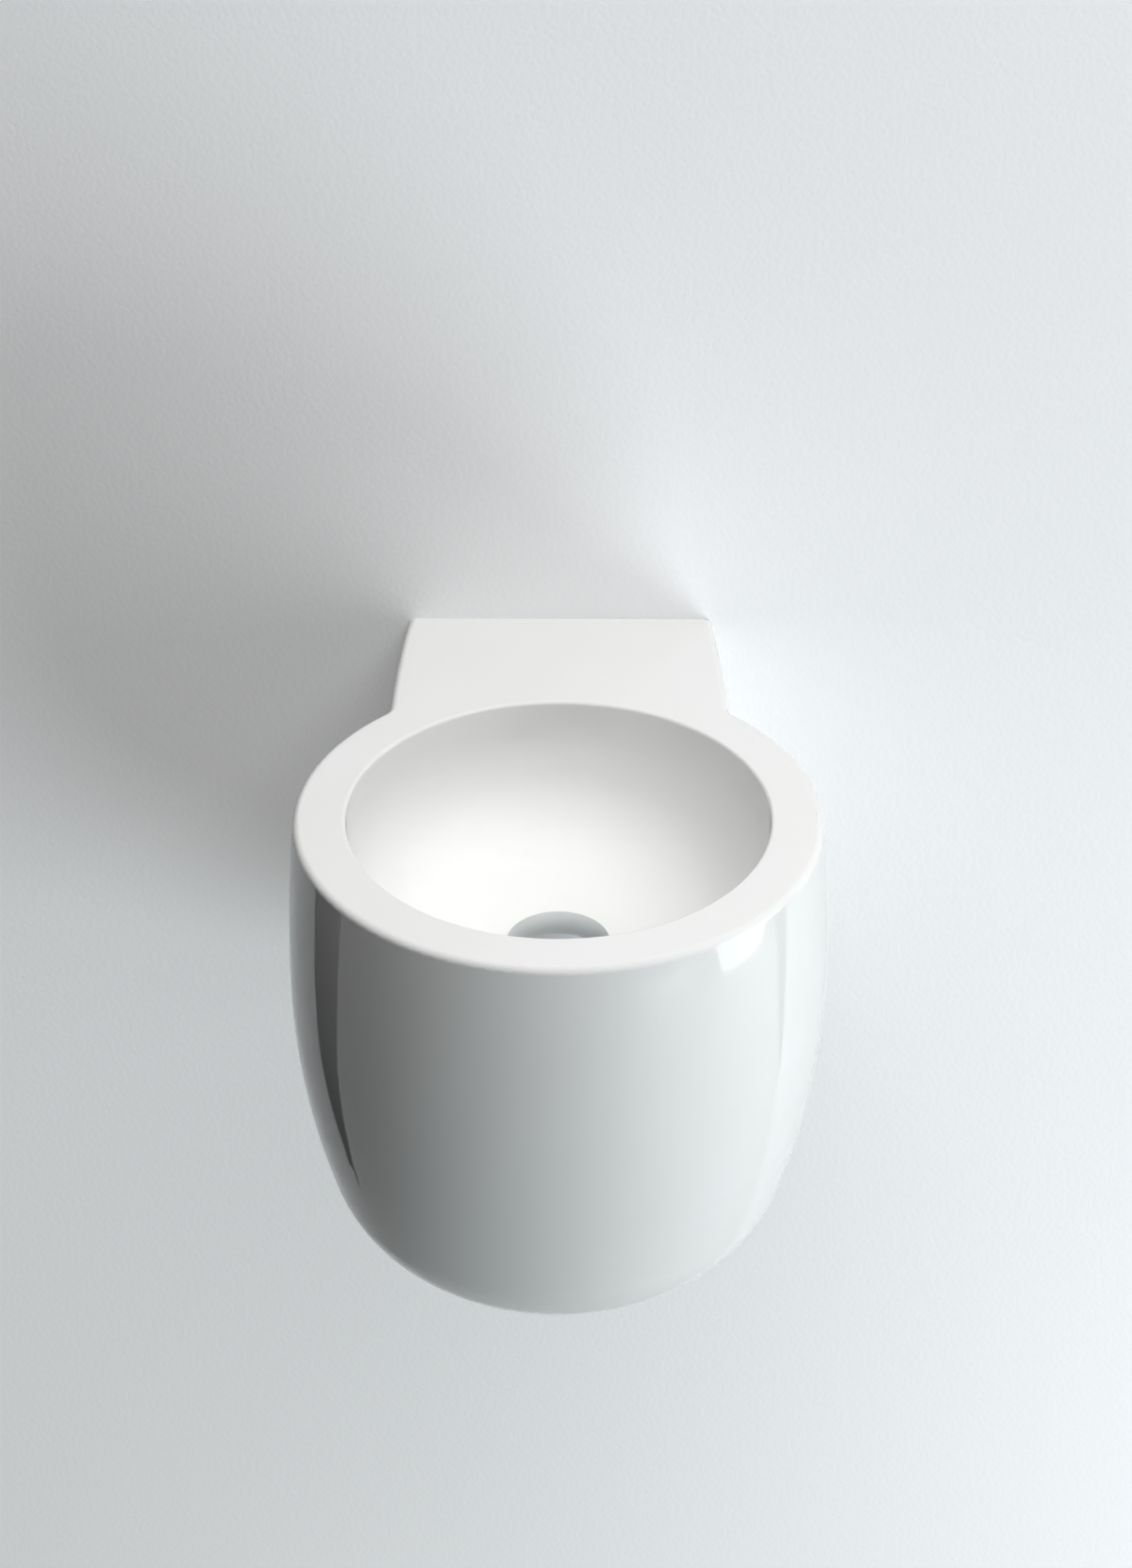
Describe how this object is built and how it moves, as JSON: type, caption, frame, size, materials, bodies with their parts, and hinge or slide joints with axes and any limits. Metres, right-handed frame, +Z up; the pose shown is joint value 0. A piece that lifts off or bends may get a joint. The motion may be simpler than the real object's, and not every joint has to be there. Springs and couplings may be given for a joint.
{
  "type": "wall hung hand basin",
  "caption": "Small egg-shaped ceramic hand basin that hangs on the wall by a flat neck, with a round bowl, a domed push plug and a bottle trap hidden inside the casting.",
  "frame": {"origin": "on the wall's face, midway between the two wall studs", "axes": "+Z up, +Y into the wall, +X to the right of someone who faces the basin; the bowl stands out of the wall towards -Y"},
  "size_m": [0.3631, 0.4986, 0.341],
  "materials": {
    "vitreous_china": "gloss",
    "chromed_brass": "polished",
    "rubber_seal": "matte",
    "nylon": "satin",
    "zinc_plated_steel": "satin",
    "brass": "satin",
    "spring_steel": "satin"
  },
  "bodies": {
    "fixed": {"basin_body": "vitreous_china", "hanger_bolts": "zinc_plated_steel", "bolt_sleeves": "nylon", "bolt_washers": "zinc_plated_steel", "bolt_nuts": "zinc_plated_steel", "waste_body": "chromed_brass", "flange_seal": "rubber_seal", "tail_seal": "rubber_seal", "slip_washer": "nylon", "lock_nut": "chromed_brass", "click_cartridge": "brass", "plug_spring": "spring_steel", "inlet_nut": "chromed_brass", "inlet_seal": "rubber_seal", "dip_tube": "chromed_brass", "top_nut": "chromed_brass", "top_seal": "rubber_seal", "trap_body": "chromed_brass", "outlet_nut": "chromed_brass", "outlet_seal": "rubber_seal", "outlet_pipe": "chromed_brass", "wall_rosette": "chromed_brass"},
    "plug": {"plug_cap": "chromed_brass", "plug_seal": "rubber_seal", "plug_stem": "brass"},
    "cup_ring": {"cup_seal": "rubber_seal"},
    "cup": {"trap_cup": "chromed_brass"}
  },
  "joints": [
    {"name": "plug_travel", "type": "slide", "parent": "fixed", "child": "plug", "axis": [0, 0, 1], "range_m": [-0.008, 0], "deforming": ["plug_spring"]},
    {"name": "cup_drop", "type": "slide", "parent": "fixed", "child": "cup_ring", "axis": [0, 0, -1], "range_m": [0, 0.0121]},
    {"name": "cup_turn", "type": "hinge", "parent": "cup_ring", "child": "cup", "pos_m": [0, -0.256, -0.23], "axis": [0, 0, -1], "range_deg": [0, 1080]}
  ],
  "couplings": [
    {"joint": "cup_drop", "follows": "cup_turn", "m_per_rad": 0.00063662}
  ]
}
